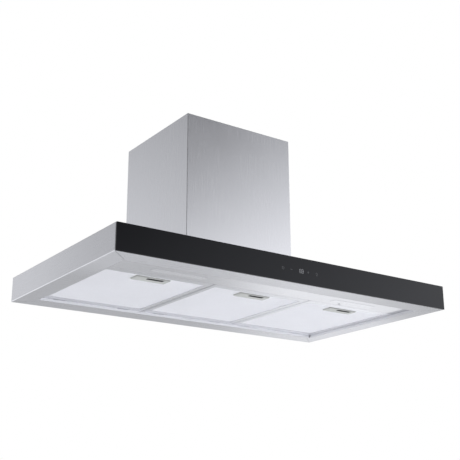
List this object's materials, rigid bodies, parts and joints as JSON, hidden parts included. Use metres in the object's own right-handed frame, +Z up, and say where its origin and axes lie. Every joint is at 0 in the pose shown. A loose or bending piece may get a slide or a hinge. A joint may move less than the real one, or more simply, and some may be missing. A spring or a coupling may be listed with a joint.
{
  "type": "chimney range hood",
  "caption": "Wall-mounted chimney range hood with black glass front, hinged grease filters, blower, non-return flaps and telescopic chimney.",
  "frame": {"origin": "on the wall plane, at the centre of the four wall screw holes of the wall rail; the bottom rim is 150 mm below it", "axes": "+X to the right seen from the room, +Y into the wall, +Z up"},
  "size_m": [0.9, 0.514, 0.4485],
  "materials": {
    "stainless": "fine brushed stainless steel",
    "black_glass": "polished black glass",
    "tape": "black foam tape",
    "filter_steel": "bright satin steel",
    "filter_mesh": "fine expanded mesh",
    "grey_plastic": "satin grey plastic",
    "spring_steel": "spring wire",
    "lens": "frosted lens",
    "white_plastic": "matte white plastic",
    "circuit_board": "green solder mask",
    "black_plastic": "matte black plastic",
    "display": "display module",
    "galvanised": "galvanised sheet",
    "motor_metal": "painted steel motor can",
    "rubber": "rubber",
    "screw_steel": "zinc plated"
  },
  "bodies": {
    "hood": {"canopy_shell": "stainless", "canopy_back": "stainless", "front_glass": "black_glass", "glass_tape": "tape", "touch_board": "circuit_board", "display_module": "display", "control_cover": "black_plastic", "lamp_panel": "stainless", "filter_rails": "galvanised", "wall_rail": "galvanised", "blower_chassis": "galvanised", "chassis_cover": "galvanised", "chassis_foot": "galvanised", "chassis_top": "galvanised", "blower_housing_left": "black_plastic", "blower_housing_right": "black_plastic", "blower_screws": "screw_steel", "motor": "motor_metal", "motor_bracket": "galvanised", "motor_washers": "rubber", "outlet_collar": "black_plastic", "damper_spindle": "spring_steel", "chimney_outer": "stainless", "canopy_screws": "screw_steel", "power_box": "black_plastic", "power_box_lid": "black_plastic", "power_board": "circuit_board", "motor_capacitor": "white_plastic", "terminal_block": "white_plastic", "cable_gland": "black_plastic", "motor_cable": "rubber", "signal_cables": "rubber", "lamp_housing_left": "white_plastic", "lamp_housing_right": "white_plastic", "lamp_lenses": "lens", "led_strips": "circuit_board"},
    "inner_chimney": {"chimney_inner": "stainless", "chimney_bracket": "galvanised", "chimney_bracket_screws": "screw_steel"},
    "rotor": {"impeller_hub": "galvanised", "impeller_blades": "galvanised", "impeller_rings": "galvanised", "motor_shaft": "spring_steel"},
    "front_flap": {"damper_flap_front": "black_plastic"},
    "rear_flap": {"damper_flap_rear": "black_plastic"},
    "filter_left": {"filter_frame_left": "filter_steel", "filter_mesh_left": "filter_mesh", "filter_handle_left": "grey_plastic", "latch_spring_left": "spring_steel"},
    "latch_left": {"filter_latch_left": "black_plastic"},
    "filter_centre": {"filter_frame_centre": "filter_steel", "filter_mesh_centre": "filter_mesh", "filter_handle_centre": "grey_plastic", "latch_spring_centre": "spring_steel"},
    "latch_centre": {"filter_latch_centre": "black_plastic"},
    "filter_right": {"filter_frame_right": "filter_steel", "filter_mesh_right": "filter_mesh", "filter_handle_right": "grey_plastic", "latch_spring_right": "spring_steel"},
    "latch_right": {"filter_latch_right": "black_plastic"}
  },
  "joints": [
    {"name": "chimney_slide", "type": "slide", "parent": "hood", "child": "inner_chimney", "axis": [0, 0, 1], "range_m": [0, 0.32]},
    {"name": "impeller_spin", "type": "hinge", "parent": "hood", "child": "rotor", "pos_m": [0, -0.1255, 0.024], "axis": [1, 0, 0], "continuous": true},
    {"name": "front_flap_hinge", "type": "hinge", "parent": "hood", "child": "front_flap", "pos_m": [0, -0.1855, 0.1738], "axis": [-1, 0, 0], "range_deg": [0, 75]},
    {"name": "rear_flap_hinge", "type": "hinge", "parent": "hood", "child": "rear_flap", "pos_m": [0, -0.1855, 0.1738], "axis": [1, 0, 0], "range_deg": [0, 75]},
    {"name": "filter_hinge_left", "type": "hinge", "parent": "hood", "child": "filter_left", "pos_m": [-0.27, -0.0566, -0.143], "axis": [1, 0, 0], "range_deg": [0, 75]},
    {"name": "latch_slide_left", "type": "slide", "parent": "filter_left", "child": "latch_left", "axis": [0, 1, 0], "range_m": [0, 0.006], "stiffness_N_per_m": 400, "springref_m": -0.003, "deforming": ["latch_spring_left"]},
    {"name": "filter_hinge_centre", "type": "hinge", "parent": "hood", "child": "filter_centre", "pos_m": [0, -0.0566, -0.143], "axis": [1, 0, 0], "range_deg": [0, 75]},
    {"name": "latch_slide_centre", "type": "slide", "parent": "filter_centre", "child": "latch_centre", "axis": [0, 1, 0], "range_m": [0, 0.006], "stiffness_N_per_m": 400, "springref_m": -0.003, "deforming": ["latch_spring_centre"]},
    {"name": "filter_hinge_right", "type": "hinge", "parent": "hood", "child": "filter_right", "pos_m": [0.27, -0.0566, -0.143], "axis": [1, 0, 0], "range_deg": [0, 75]},
    {"name": "latch_slide_right", "type": "slide", "parent": "filter_right", "child": "latch_right", "axis": [0, 1, 0], "range_m": [0, 0.006], "stiffness_N_per_m": 400, "springref_m": -0.003, "deforming": ["latch_spring_right"]}
  ]
}
